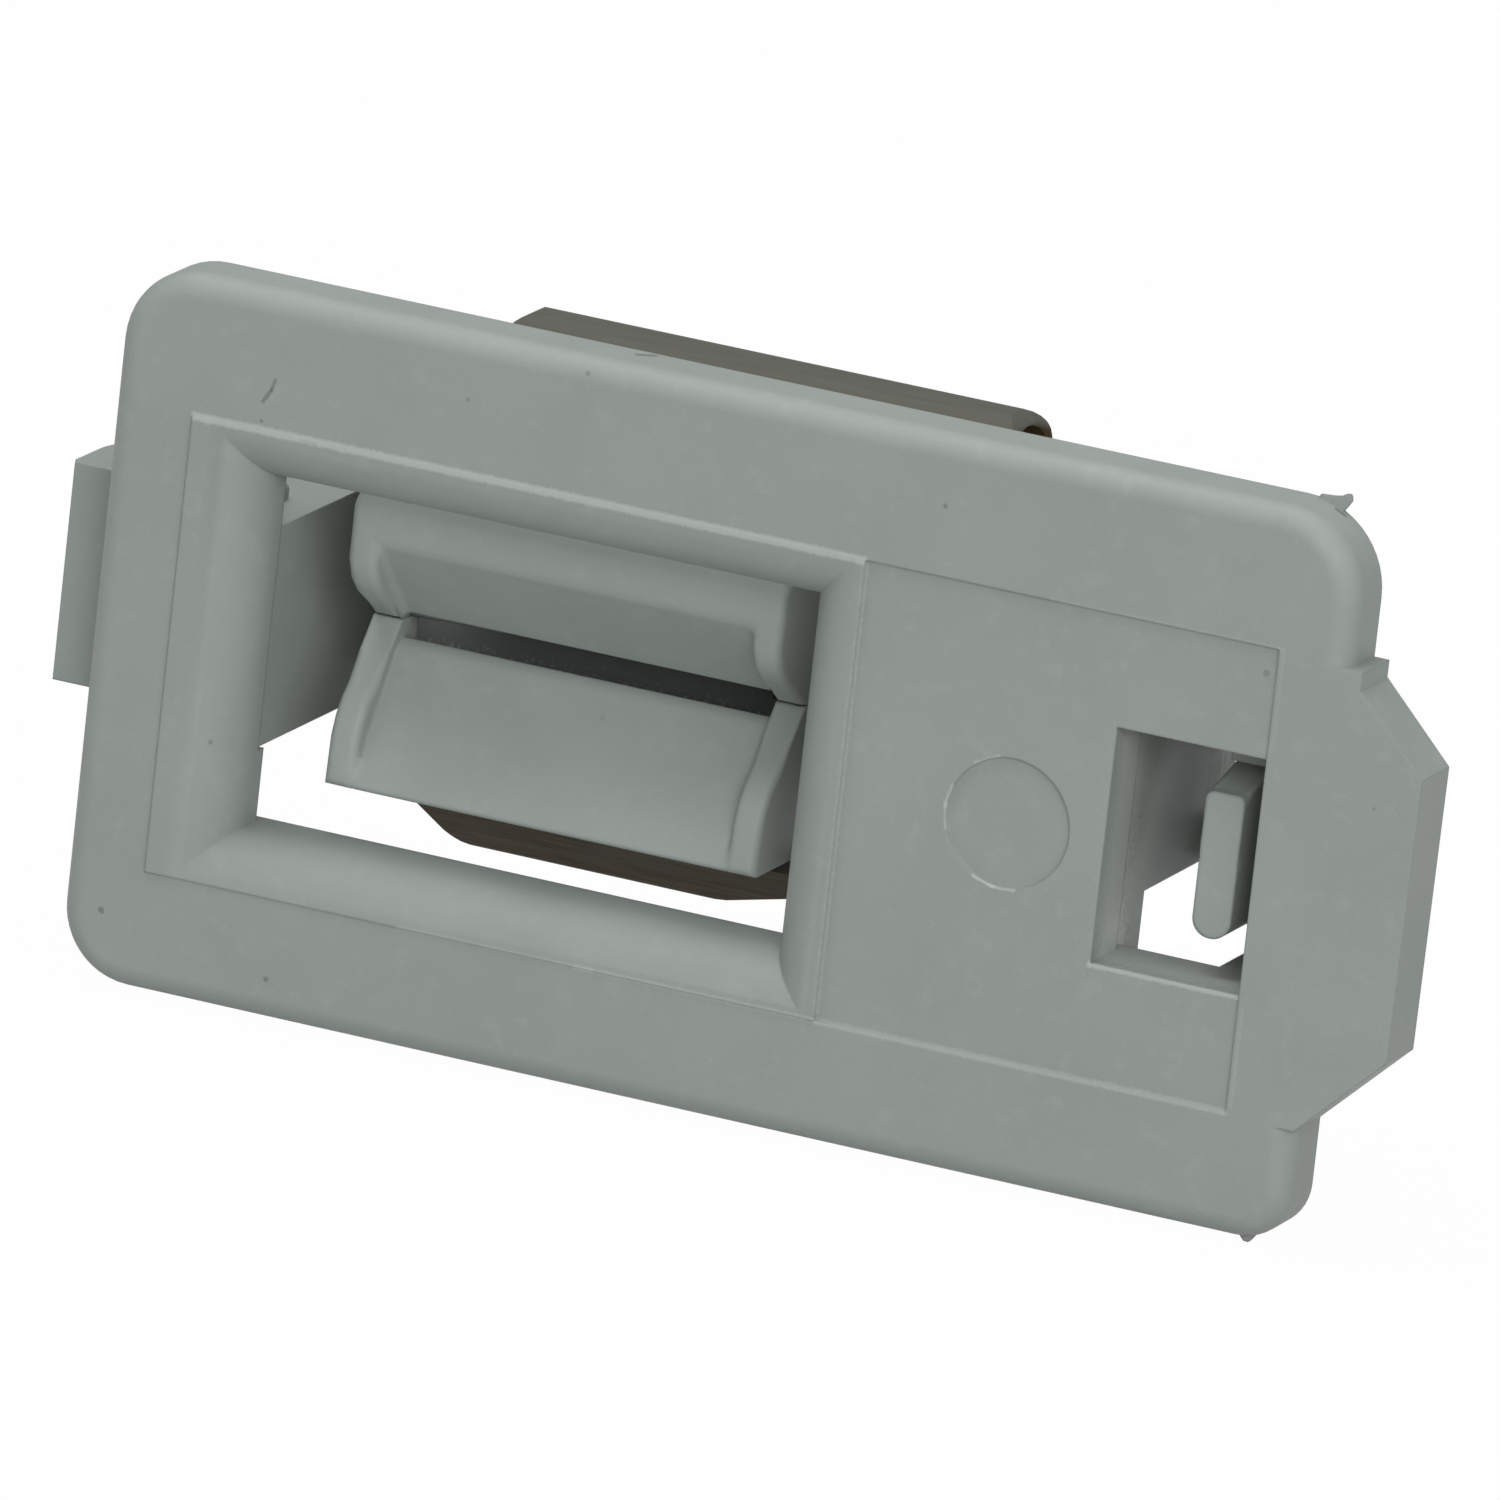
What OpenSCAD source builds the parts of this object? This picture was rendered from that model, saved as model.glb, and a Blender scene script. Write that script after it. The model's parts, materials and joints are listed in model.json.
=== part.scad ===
// Push-in catch for a dryer door, seen from its front with the mechanism behind the plate.
// X runs to the right, Y runs into the dryer and Z runs up.
// The origin is the centre of the plate's rear seat, so the plate stands at -Y and the catch at +Y.
// Faces on the plate are given as X and Z, and depths behind the seat as Y.

/* [Plate] */
// Width of the plate
plate_w = 75.8; // [70:0.1:82]
// Height of the plate
plate_h = 42; // [40:0.5:48]
// Thickness of the plate
plate_t = 4; // [3.2:0.1:5]
// Outer corner radius of the plate
plate_r = 4.6; // [3:0.1:7]
// Radius that rolls the front edge of the plate
edge_r = 1.4; // [0.6:0.1:2]
// Height of the pad round the striker opening over the plate's front
pad_rise = 0.15; // [0.05:0.01:0.3]
// Depth of the flat round the window below the plate's front
flat_set = 0.2; // [0.05:0.01:0.4]

/* [Grip tab] */
// Reach of the grip tab past the right edge
tab_reach = 5; // [3:0.1:8]
// Height of the grip tab at its root
tab_h = 26.7; // [20:0.1:30]
// Height of the tab's centre
tab_z = -0.75; // [-2:0.05:1]
// Sloping corner of the tab
tab_slope = 4.6; // [2:0.2:6]

/* [Panel hook] */
// Reach of the hook past the left edge
hook_reach = 4; // [2.5:0.1:6]
// Height of the hook
hook_h = 12.8; // [8:0.2:13]
// Height of the hook's centre
hook_z = 0.95; // [-1:0.05:1.5]
// Depth of the hook block
hook_t = 5.4; // [4.6:0.1:6]
// Thickness of the sheet-metal panel that the hook grips
panel_t = 1; // [0.6:0.1:1.6]
// Corner radius of the hook
hook_r = 0.5; // [0.4:0.1:2]

/* [Striker opening] */
// Width of the opening behind its rolled surround
open_w = 33.5; // [31:0.5:35]
// Height of the opening
open_h = 20.7; // [20:0.1:22]
// Place of the opening's centre across the plate
open_x = -11.65; // [-13:0.05:-10]
// Height of the opening's centre
open_z = -0.6; // [-1.5:0.1:0.5]
// Radius of the rolled surround
roll_r = 3.6; // [2:0.1:3.8]

/* [Jaws] */
// Space between the jaws' left end and the edge of the opening
jaw_left = 3.65; // [2.5:0.05:5]
// Space between the jaws' right end and the edge of the opening
jaw_right = 3.05; // [1.5:0.05:4]
// Height of the plane between the jaws
jaw_z = 0.65; // [0:0.05:1.2]
// Gap behind the plate before the jaws begin
jaw_gap = 1.2; // [0.6:0.1:2.5]
// Height of each jaw above or below the plane between them
jaw_h = 8.75; // [8:0.05:9.5]
// Width of the slot that the striker goes through
slot_h = 1.65; // [1:0.05:3]
// Width of the cheek at each end of a jaw
cheek_w = 1.8; // [1.2:0.1:3]
// Thickness of the jaw's arm
arm_t = 2.3; // [1.6:0.1:3]
// Depth of the jaw pivots behind the seat
pivot_y = 18; // [16:0.5:20]
// Distance of each pivot from the plane between the jaws
pivot_z = 3.4; // [3.2:0.1:3.6]
// Radius of the moulded barrel round each pivot
barrel_r = 2.7; // [2.2:0.1:3]
// Radius of the moulded trunnions
trunnion_r = 1.6; // [1.2:0.05:1.8]
// Running clearance round a trunnion
trunnion_gap = 0.06; // [0.02:0.01:0.1]

/* [Side walls] */
// Height of the side walls that carry the jaws
ear_h = 13; // [12:0.5:15]
// Thickness of the side walls
ear_t = 2.2; // [1.6:0.1:3]
// Distance of the right side wall from the opening's edge
ear_right = 2.9; // [2.5:0.1:5]
// Length of the side walls past the jaw pivots
ear_past = 3.6; // [2.6:0.1:6]
// Width of the hollow block behind the left edge
block_w = 5.4; // [4.6:0.2:6]

/* [Spring clip] */
// Space between the clip and the left side wall
spring_left = 4.3; // [0.5:0.1:5]
// Space between the clip and the right side wall
spring_right = 0.6; // [0.3:0.1:3]
// Thickness of the strip
spring_t = 0.8; // [0.5:0.05:1.2]
// Depth of the clip's back behind the seat
spring_y = 26; // [25:0.5:30]
// Height of the clip's back
spring_h = 31.95; // [28:0.05:34]
// Outer bend radius of the clip
spring_r = 3.8; // [1.5:0.1:4]
// Corner radius of the strip
spring_corner = 1.6; // [0.5:0.1:3]
// Height of the clip's centre
spring_z = 0.1; // [-2:0.05:1]
// Depth behind the seat where the legs bear on the jaws
foot_y = 9.5; // [8.5:0.1:10.5]
// Length of the turned-up end of each leg
foot_len = 1.4; // [1:0.1:2.4]
// Slope of the turned-up end of each leg
foot_lift = 20; // [10:1:35]

/* [Switch window] */
// Width of the window
win_w = 9.1; // [8:0.1:10]
// Height of the window
win_h = 13.7; // [12:0.1:15]
// Place of the window's centre across the plate
win_x = 29.2; // [28:0.1:29.5]
// Height of the window's centre
win_z = -0.3; // [-1:0.1:0.5]
// Thickness of the chamber walls behind the window
wall_t = 1.4; // [1:0.1:2]
// Length of the chamber walls behind the seat
wall_len = 16; // [15.5:0.5:21]

/* [Switch slider] */
// Thickness of the slider's blade
blade_w = 2.3; // [1.6:0.1:3]
// Height of the slider's blade
blade_h = 8.4; // [6:0.1:9]
// Depth of the blade's face behind the plate's front
blade_set = 2; // [1:0.1:3]
// Gap between the blade and the window's right edge
blade_right = 1.75; // [1.4:0.05:3]
// Travel of the slider and of the switch plunger
travel = 1.2; // [0.8:0.1:1.4]
// Running clearance of the slider in its guides
slide_gap = 0.15; // [0.08:0.01:0.3]

/* [Snap switch] */
// Width of the switch case, across the plate
case_w = 5.8; // [5.4:0.1:6]
// Length of the switch case, up the plate
case_l = 12.8; // [12:0.1:13]
// Depth of the switch case
case_d = 6.5; // [6:0.1:6.8]
// Depth of the case's front behind the seat
case_y = 8.5; // [8:0.1:9]
// Spacing of the case's two holes
peg_pitch = 6.5; // [5.5:0.1:7]
// Radius of the moulded pegs that hold the case
peg_r = 0.95; // [0.8:0.05:1.1]
// Clearance round the pegs
peg_gap = 0.05; // [0.02:0.01:0.1]

/* [Hidden] */
$fn = 48;
cut = 0.5;                       // overrun of a cut past the faces that it opens
body_grey = [0.56, 0.59, 0.57];
steel_brown = [0.36, 0.32, 0.27];
case_black = [0.13, 0.13, 0.14];
plunger_red = [0.72, 0.14, 0.1];
terminal_brass = [0.78, 0.7, 0.5];

// Plate and its mould marks
tab_ledge = 0.9;                 // ledge above the tab's upper slope
tab_nick = 1;                    // height of the corner under that ledge
tab_full = 0.3;                  // upper end of the tab's edge above the sloping corner
tab_flare = 0.15;                // and right of the lower end
corner_more = [0.4, 0, -0.3, -1.6]; // corner radii against plate_r: upper right, upper left and on round
pad_top = 3.2;                   // pad and flat above the opening
pad_low = 2.9;                   // and below it
pad_left = 0.8;                  // edge of the pad left of the opening's surround
witness_set = 0.25;              // depth of the witness disc below the flat
witness_x = 10.1;                // centre of the witness disc, right of the surround
witness_z = -0.25;
witness_r = 3.75;

// Rim behind the striker opening, at its lower and left edges
rim_low = 1.7;
rim_left = 0.8;
rim_t = 1.4;

// Plan of the hook's tip, from its front corner
hook_tip = [[-0.6, 1.5], [-0.6, 3.4], [0, 5.4]];

// Mechanism
foot_gap = 0.1;                  // between a jaw and the leg that presses on it
relief_w = 16.7;                 // notch across the clip's lower bend, at its right end
relief_run = 7.4;                // its sloping part
relief_d = 4.3;                  // its depth where the slope starts
relief_deep = 8.9;               // its depth where the slope ends
relief_h = 4.5;
bead_back = 1.2;                 // bead on a jaw behind the leg's foot, that keeps it in place
bead_w = 0.8;
bead_h = 0.3;
ear_z = -0.15;                   // height of the side walls' centre
ear_set = 0.3;                   // left side wall outside the opening
side_gap = 0.35;                 // between a barrel and a side wall
trunnion_set = 0.1;              // end of a trunnion inside the wall's outer face
web_reach = 7;                   // web that braces the right side wall
web_depth = 12;
web_foot = 0.6;
hinge_gap = 1.2;                 // slope of the arm's end round the barrel

// Jaw faces: depth behind the jaw's front, and height over the plane between the jaws
lip_y = 4.8;                     // where the face ends and the lip begins
lip_land = 0.7;
upper_ease = 0.1;                // the lip's edge is broken this far
lower_ease = 0.5;
lip_back = 1.2;
cheek_y = 7.3;                   // depth of the cheeks
upper_face = 5.75;
upper_bevel = 1;
upper_curve = [[0, 4.45], [0.6, 3.2], [1.6, 2.25], [3.7, 1], [4.5, 0.4]];
lower_set = 0.1;                 // lower jaw in front of the upper one
lower_face = [0.9, 6.9];
lower_curve = [[0.25, 5.9], [0.65, 4.7], [1.2, 3.8], [2.15, 2.85], [3.4, 1.5], [4.4, 0.3], [4.9, -0.3]];

// Slider and switch
plunger_z = -0.6;                // height of the blade and of the plunger behind it
shoe_y = 2.4;                    // where the blade widens into its shoe
shoe_l = 2.2;                    // length of the shoe
blade_top_r = 0.5;               // corner radius at the blade's upper end
blade_rise = 0.9;                // rise of the blade's upper edge on its way to the shoe
shoe_rise = 0.9;                 // step from there to the shoe's upper edge
guide_side = 0.1;                // lower guide begins right of the blade
stop_t = 1;                      // stop in front of the shoe's upper edge
guide_l = 3.6;                   // length of the guides behind shoe_y
wall_gap = 0.5;                  // between the case and the chamber's right wall
roof_gap = 0.1;                  // roof above the window's upper edge
push_gap = 0.1;                  // between the slider and the plunger
plunger_r = 1.2;
plunger_out = 1.3;               // height of a plunger that is pressed home
plunger_in = 1.5;                // length of the plunger inside the case
bore_gap = 0.1;                  // round the plunger
collar_r = 2;                    // collar round the plunger
collar_h = 0.5;
case_r = 0.4;                    // corner radius of the case
case_rise = 0.4;                 // case's middle above its plunger
peg_y = 4.6;                     // depth of the case's holes behind its front
nub_l = 0.8;                     // length of a peg inside the case
boss_r = 1.25;                   // boss under a peg
boss_gap = 0.1;                  // between a boss and the case
pin_w = 1.8;                     // terminal blade
pin_t = 0.4;
pin_l = 3.4;
pin_hole = 0.4;
pin_inset = 1.9;                 // terminal from the case's end
pin_hole_y = 2.2;

// Chamber walls: where their lower and upper edges change
left_set = 0.3;                  // left wall behind the plate, outside the window
low_step = [4.1, -4.7];          // left wall is cut away below this, behind the window
slope_from = [10, 14];           // upper edge of the left wall
slope_to = 11.6;
right_top = [[5.5, 14], [5.5, 9.4], [8, 8.8], [15, 3.5]];
right_low = [10, -6];            // slope of the right wall's lower edge
right_back = 0.5;                // end of the right wall behind the case
sill_l = 1;
floor_l = 5;
floor_set = 0.35;                // floor begins left of the blade's middle

// Places that follow from the sizes above
front_y = -plate_t;
pad_y = front_y - pad_rise;
root = plate_w / 2;
open_l = open_x - open_w / 2;
open_r = open_x + open_w / 2;
open_b = open_z - open_h / 2;
open_t = open_z + open_h / 2;
pad_l = open_l - roll_r - pad_left;
pad_rt = open_r + roll_r;
pad_b = open_b - pad_low;
pad_t = open_t + pad_top;
jaw_l = open_l + jaw_left;
jaw_rt = open_r - jaw_right;
ear_l = open_l - ear_set;
ear_rt = open_r + ear_right;
ear_len = pivot_y + ear_past;
ear_b = ear_z - ear_h / 2;
ear_top = ear_z + ear_h / 2;
win_l = win_x - win_w / 2;
win_rt = win_x + win_w / 2;
win_b = win_z - win_h / 2;
win_t = win_z + win_h / 2;
blade_x = win_rt - blade_right - blade_w / 2;
roof_z = win_t + roof_gap;
chamber_rt = blade_x + case_w / 2 + wall_gap;
blade_l = blade_x - blade_w / 2;
blade_b = plunger_z - blade_h / 2;
blade_t = plunger_z + blade_h / 2;
shoe_t = blade_t + blade_rise + shoe_rise;
guide_l_x = blade_x + blade_w / 2 + guide_side;
bead_y = foot_y + bead_back;
case_l_x = blade_x - case_w / 2;
case_mid = plunger_z + case_rise;

// A profile of Y and Z drawn out along X
module along_x(x0, x1) {
    translate([x0, 0, 0]) rotate([90, 0, 90]) linear_extrude(x1 - x0) children();
}

// A profile of X and Z drawn out along Y
module along_y(y0, y1) {
    translate([0, y1, 0]) rotate([90, 0, 0]) linear_extrude(y1 - y0) children();
}

// A round bar along X, from x0 to x1 at a place in Y and Z
module bar_x(x0, x1, place, r) {
    translate([x0, place[0], place[1]]) rotate([0, 90, 0]) cylinder(r = r, h = x1 - x0);
}

// A round bar along Y, from y0 to y1 at a place in X and Z
module bar_y(y0, y1, place, r) {
    translate([place[0], y1, place[1]]) rotate([90, 0, 0]) cylinder(r = r, h = y1 - y0);
}

// A box between two corners
module block(low, high) {
    translate(low) cube(high - low);
}

// A rectangle between two corners with rounded corners
module round_rect(low, high, r) {
    for (x = [low[0] + r, high[0] - r], y = [low[1] + r, high[1] - r])
        translate([x, y]) circle(r);
    translate([low[0] + r, low[1]]) square([high[0] - low[0] - 2 * r, high[1] - low[1]]);
    translate([low[0], low[1] + r]) square([high[0] - low[0], high[1] - low[1] - 2 * r]);
}

// Section through the rim of the plate, with its front edge rolled over
module rim_section(r) {
    difference() {
        square([r, plate_t]);
        translate([r - edge_r, plate_t - edge_r]) difference() {
            square(edge_r + cut);
            circle(edge_r);
        }
    }
}

// The plate without its openings, drawn face up and then stood upright
// Each corner is turned round its own centre, straight rims join the corners, and a core fills the rest
module plate_blank() {
    half = [root, plate_h / 2];
    signs = [[1, 1], [-1, 1], [-1, -1], [1, -1]];
    radii = [for (more = corner_more) plate_r + more];
    centres = [for (i = [0:3]) [signs[i][0] * (half[0] - radii[i]), signs[i][1] * (half[1] - radii[i])]];
    rim = 2 * edge_r;
    rotate([90, 0, 0]) {
        for (i = [0:3]) {
            next = (i + 1) % 4;
            across = i % 2;
            reach = abs(centres[next][across] - centres[i][across]);
            translate([centres[i][0], centres[i][1], 0]) rotate([0, 0, 90 * i])
                rotate_extrude(angle = 90) rim_section(radii[i]);
            translate([centres[i][0], centres[i][1], 0]) rotate([90, 0, 90 * i + 90]) mirror([0, 0, 1])
                translate([radii[i] - rim, 0, 0]) linear_extrude(reach) rim_section(rim);
        }
        linear_extrude(plate_t) polygon([for (i = [0:3]) let (
            c = centres[i],
            inner = [signs[i][0] * (half[0] - rim), signs[i][1] * (half[1] - rim)],
            by_side = [inner[0], c[1]],
            by_end = [c[0], inner[1]]
        ) each (i % 2 == 0 ? [by_side, c, by_end] : [by_end, c, by_side])]);
    }
}

// Takes the front edge off along a line from one face point to the next, with the stock on its left
module roll_edge(from, to) {
    run = to - from;
    turn = atan2(run[1], run[0]);
    rotate([90, 0, 0]) translate([from[0], from[1], plate_t - edge_r]) rotate([90, 0, turn + 90])
        translate([-edge_r, 0, -norm(run) - cut]) linear_extrude(norm(run) + 2 * cut) difference() {
            translate([-cut, 0]) square(edge_r + cut);
            translate([edge_r, 0]) circle(edge_r);
        }
}

// Grip tab at the right edge, level with the plate's front
module grip_tab() {
    tip = root + tab_reach;
    top = tab_z + tab_h / 2;
    low = tab_z - tab_h / 2;
    inside = root - edge_r - cut;
    corner = [root + tab_slope, low + tab_slope];
    upper = [root + tab_ledge, top - tab_nick];
    tip_t = [tip + tab_flare, top - tab_slope - tab_nick + tab_full];
    difference() {
        along_y(front_y, 0) polygon([
            [inside, low], [root, low], corner, [tip, corner[1] + tip - corner[0]],
            tip_t, upper, [upper[0], top], [inside, top]
        ]);
        roll_edge([root - cut, low - cut], corner);
        roll_edge([tip, corner[1]], tip_t);
        roll_edge(tip_t, upper);
    }
}

// Hook that grips behind the panel, on the left end of the hollow block
module panel_hook() {
    top = hook_z + hook_h / 2;
    tip = -root - hook_reach;
    back = panel_t + hook_t;
    end = ear_l - ear_t;
    hook_nose = -hook_tip[0][0];
    intersection() {
        along_y(panel_t, back) round_rect([tip - hook_nose, top - hook_h], [end, top], hook_r);
        translate([0, 0, top - hook_h]) linear_extrude(hook_h) polygon(concat(
            [[end, back], [end, panel_t], [tip, panel_t]],
            [for (p = hook_tip) [tip + p[0], panel_t + p[1]]]
        ));
    }
}

// Void with a rolled surround: a funnel across and a funnel upright meet in mitred corners
module roll_section(low, high) {
    difference() {
        translate([low - roll_r, pad_y - cut]) square([high - low + 2 * roll_r, roll_r + cut]);
        for (x = [low - roll_r, high + roll_r])
            translate([x, pad_y + roll_r]) circle(roll_r);
    }
    translate([low, pad_y - cut]) square([high - low, plate_t + pad_rise + 2 * cut]);
}

module striker_void() {
    intersection() {
        translate([0, 0, open_b - roll_r]) linear_extrude(open_h + 2 * roll_r)
            roll_section(open_l, open_r);
        along_x(open_l - roll_r, open_r + roll_r) mirror([1, -1]) roll_section(open_b, open_t);
    }
}

// Rim that stands behind the opening's lower and left edges
module opening_rim() {
    block([open_l - rim_t, -cut, open_b - rim_t], [open_r, rim_low, open_b]);
    block([open_l - rim_t, -cut, open_b - rim_t], [open_l, rim_left, ear_b]);
}

// Flat that the mould left round the window, with a witness disc beside it
module window_flat() {
    floor_y = front_y + flat_set;
    block([pad_rt, front_y - cut, pad_b], [win_rt, floor_y, pad_t]);
    bar_y(front_y - cut, floor_y + witness_set, [pad_rt + witness_x, witness_z], witness_r);
}

// Left block: a side wall for the jaws, a hollow behind it and an outer wall for the hook
module left_block() {
    out = ear_l - block_w;
    difference() {
        block([out, -cut, ear_b], [ear_l, ear_len, ear_top]);
        block(
            [out + wall_t, panel_t + hook_t, ear_b + wall_t],
            [ear_l - ear_t, ear_len + cut, ear_top - wall_t]
        );
    }
}

// Right side wall with two webs that brace it to the plate
module right_wall() {
    block([ear_rt, -cut, ear_b], [ear_rt + ear_t, ear_len, ear_top]);
    for (z = [ear_b, ear_top - wall_t])
        translate([ear_rt + ear_t, 0, z]) linear_extrude(wall_t) polygon([
            [-cut, -cut], [web_reach, -cut], [web_reach, web_foot],
            [web_foot, web_depth], [-cut, web_depth]
        ]);
}

// Pegs that hold the case between the chamber's walls, those at the left on bosses
module case_pegs() {
    for (side = [-1, 1]) {
        place = [case_y + peg_y, case_mid + side * peg_pitch / 2];
        bar_x(win_l - cut, case_l_x - boss_gap, place, boss_r);
        bar_x(win_l - cut, case_l_x + nub_l, place, peg_r);
        bar_x(blade_x + case_w / 2 - nub_l, chamber_rt + cut, place, peg_r);
    }
}

// Walls of the switch chamber behind the window, with the slider's guides and stop
module switch_chamber() {
    inner = win_l - left_set;
    out_l = inner - wall_t;
    out_rt = chamber_rt + wall_t;
    right_end = case_y + case_d + right_back;
    sill_b = win_b - wall_t;
    guide_y = shoe_y + guide_l;
    stop_b = blade_t + blade_rise + slide_gap;
    along_x(out_l, inner) polygon([
        [-cut, sill_b], [low_step[0], sill_b], low_step, [wall_len, low_step[1]],
        [wall_len, slope_to], slope_from, [-cut, slope_from[1]]
    ]);
    along_x(chamber_rt, out_rt) polygon(concat(
        [[-cut, sill_b], [right_low[0], sill_b], [right_end, right_low[1]]],
        [[right_end, right_top[3][1]]], reversed(right_top), [[-cut, right_top[0][1]]]
    ));
    block([out_l, -cut, sill_b], [out_rt, sill_l, win_b]);
    block([blade_x - floor_set, 0, sill_b], [out_rt, floor_l, win_b]);
    block([out_l, -cut, roof_z], [out_rt, guide_y, roof_z + wall_t]);
    block([blade_l, shoe_y, shoe_t + slide_gap], [chamber_rt + cut, guide_y, roof_z + cut]);
    block(
        [blade_l, shoe_y - slide_gap - stop_t, stop_b],
        [chamber_rt + cut, shoe_y - slide_gap, roof_z + cut]
    );
    block(
        [guide_l_x, shoe_y, blade_b - slide_gap - wall_t],
        [chamber_rt + cut, guide_y, blade_b - slide_gap]
    );
    case_pegs();
}

module housing() {
    color(body_grey) difference() {
        union() {
            difference() {
                union() {
                    plate_blank();
                    grip_tab();
                    block([pad_l, pad_y, pad_b], [pad_rt, front_y + cut, pad_t]);
                }
                striker_void();
                window_flat();
                block([win_l, front_y - cut, win_b], [win_rt, cut, win_t]);
            }
            left_block();
            right_wall();
            panel_hook();
            opening_rim();
            switch_chamber();
        }
        for (side = [-1, 1])
            bar_x(ear_l - ear_t - cut, ear_rt + ear_t + cut, [pivot_y, jaw_z + side * pivot_z],
                trunnion_r + trunnion_gap);
    }
}

// What both jaws share: arm, bead, barrel, trunnions and the shoulder that holds the striker
// Drawn for the upper jaw, with Z measured from the plane between the jaws
module jaw_body(y0, front, lip_ease) {
    inner = jaw_h - arm_t;
    half = slot_h / 2;
    shoulder = y0 + lip_y + lip_land + 1;
    from = front[len(front) - 1];
    lip = [y0 + lip_y, half];
    ease = lip + lip_ease * (from - lip) / norm(from - lip);
    along_x(jaw_l, jaw_rt) polygon(concat(front, [
        ease, [y0 + lip_y + lip_ease, half], [y0 + lip_y + lip_land, half], [shoulder, half + lip_back],
        [shoulder, inner], [pivot_y - 2 * barrel_r, inner], [pivot_y - barrel_r / 2, pivot_z + 0.5],
        [pivot_y, pivot_z], [pivot_y + 2.2, pivot_z + hinge_gap], [pivot_y - 6, jaw_h]
    ]));
    block([jaw_l, bead_y, inner], [jaw_rt, bead_y + bead_w, jaw_h + bead_h]);
    bar_x(ear_l + side_gap, ear_rt - side_gap, [pivot_y, pivot_z], barrel_r);
    bar_x(ear_l - ear_t + trunnion_set, ear_rt + ear_t - trunnion_set, [pivot_y, pivot_z], trunnion_r);
}

// Cheeks at both ends of a jaw
module cheeks(outline) {
    for (x = [jaw_l, jaw_rt - cheek_w])
        along_x(x, x + cheek_w) polygon(outline);
}

module upper_jaw() {
    front = [[jaw_gap + upper_bevel, jaw_h], [jaw_gap, jaw_h - upper_bevel]];
    back = upper_curve[len(upper_curve) - 1][1];
    color(body_grey) translate([0, 0, jaw_z]) {
        jaw_body(jaw_gap, concat(front, [[jaw_gap, upper_face]]), upper_ease);
        cheeks(concat(front, [for (p = upper_curve) [jaw_gap + p[0], p[1]]],
            [[jaw_gap + cheek_y, back], [jaw_gap + cheek_y, jaw_h]]));
    }
}

module lower_jaw() {
    y0 = jaw_gap - lower_set;
    front = [[y0, jaw_h]];
    back = lower_curve[len(lower_curve) - 1][1];
    color(body_grey) translate([0, 0, jaw_z]) mirror([0, 0, 1]) {
        jaw_body(y0, concat(front, [[y0 + lower_face[0], lower_face[1]]]), lower_ease);
        cheeks(concat(front, [for (p = lower_curve) [y0 + p[0], p[1]]],
            [[y0 + cheek_y, back], [y0 + cheek_y, jaw_h]]));
    }
}

// Points along an arc, from one angle to another
function arc(centre, r, from, to, steps = 12) =
    [for (i = [0:steps]) let (a = from + (to - from) * i / steps) centre + r * [cos(a), sin(a)]];

function reversed(points) = [for (i = [len(points) - 1:-1:0]) points[i]];
function mirrored(points) = [for (p = points) [p[0], -p[1]]];

// One face of the clip from its back round to the end of a leg; skin is its height over the inner face
function leg_face(reach, foot, skin) =
    let (
        bend = [spring_y - spring_r, reach - spring_r],
        lean = atan2(reach - foot[1] - spring_t, bend[0] - foot[0]),
        lift = [-cos(foot_lift), sin(foot_lift)],
        toe = foot + skin * [-sin(lean), cos(lean)]
    )
    concat(arc(bend, spring_r - spring_t + skin, 0, 90 + lean), [toe, toe + foot_len * lift]);

// Notch across the right end of the clip's lower bend
module bend_relief(right, down) {
    from = right - relief_w;
    floor_y = spring_y - relief_deep;
    translate([0, 0, -down - cut]) linear_extrude(relief_h + cut) polygon([
        [from, spring_y + cut], [from, spring_y - relief_d], [from + relief_run, floor_y],
        [right + cut, floor_y], [right + cut, spring_y + cut]
    ]);
}

module spring_clip() {
    up = spring_h / 2 + spring_z;
    down = spring_h / 2 - spring_z;
    left = ear_l + spring_left;
    right = ear_rt - spring_right;
    foot_up = [foot_y, jaw_h + jaw_z + foot_gap];
    foot_down = [foot_y, jaw_h - jaw_z + foot_gap];
    color(steel_brown) difference() {
        intersection() {
            along_x(left, right) polygon(concat(
                reversed(mirrored(leg_face(down, foot_down, spring_t))),
                leg_face(up, foot_up, spring_t),
                reversed(leg_face(up, foot_up, 0)),
                mirrored(leg_face(down, foot_down, 0))
            ));
            along_y(-cut, spring_y + cut)
                round_rect([left, -down], [right, up], spring_corner);
        }
        bend_relief(right, down);
    }
}

// Blade that shows in the window, with a shoe behind it that runs in the guides
module switch_slider() {
    face = front_y + blade_set;
    blade_rt = blade_x + blade_w / 2;
    corner = blade_w / 2 - 0.05;
    nose = case_y - plunger_out - travel - push_gap;
    color(body_grey) {
        along_y(face, shoe_y + shoe_l) {
            round_rect([blade_l, blade_b], [blade_rt, plunger_z + corner], corner);
            round_rect([blade_l, plunger_z], [blade_rt, blade_t], blade_top_r);
        }
        along_x(blade_l, blade_rt) polygon([
            [face + blade_top_r, plunger_z], [face + blade_top_r, blade_t - blade_top_r],
            [face + 2 * blade_top_r, blade_t], [shoe_y, blade_t + blade_rise], [shoe_y, plunger_z]
        ]);
        block([blade_l, shoe_y, blade_b], [chamber_rt - slide_gap, shoe_y + shoe_l, shoe_t]);
        block([blade_l, shoe_y, plunger_z - collar_r], [blade_rt, nose, plunger_z + collar_r]);
    }
}

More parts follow.
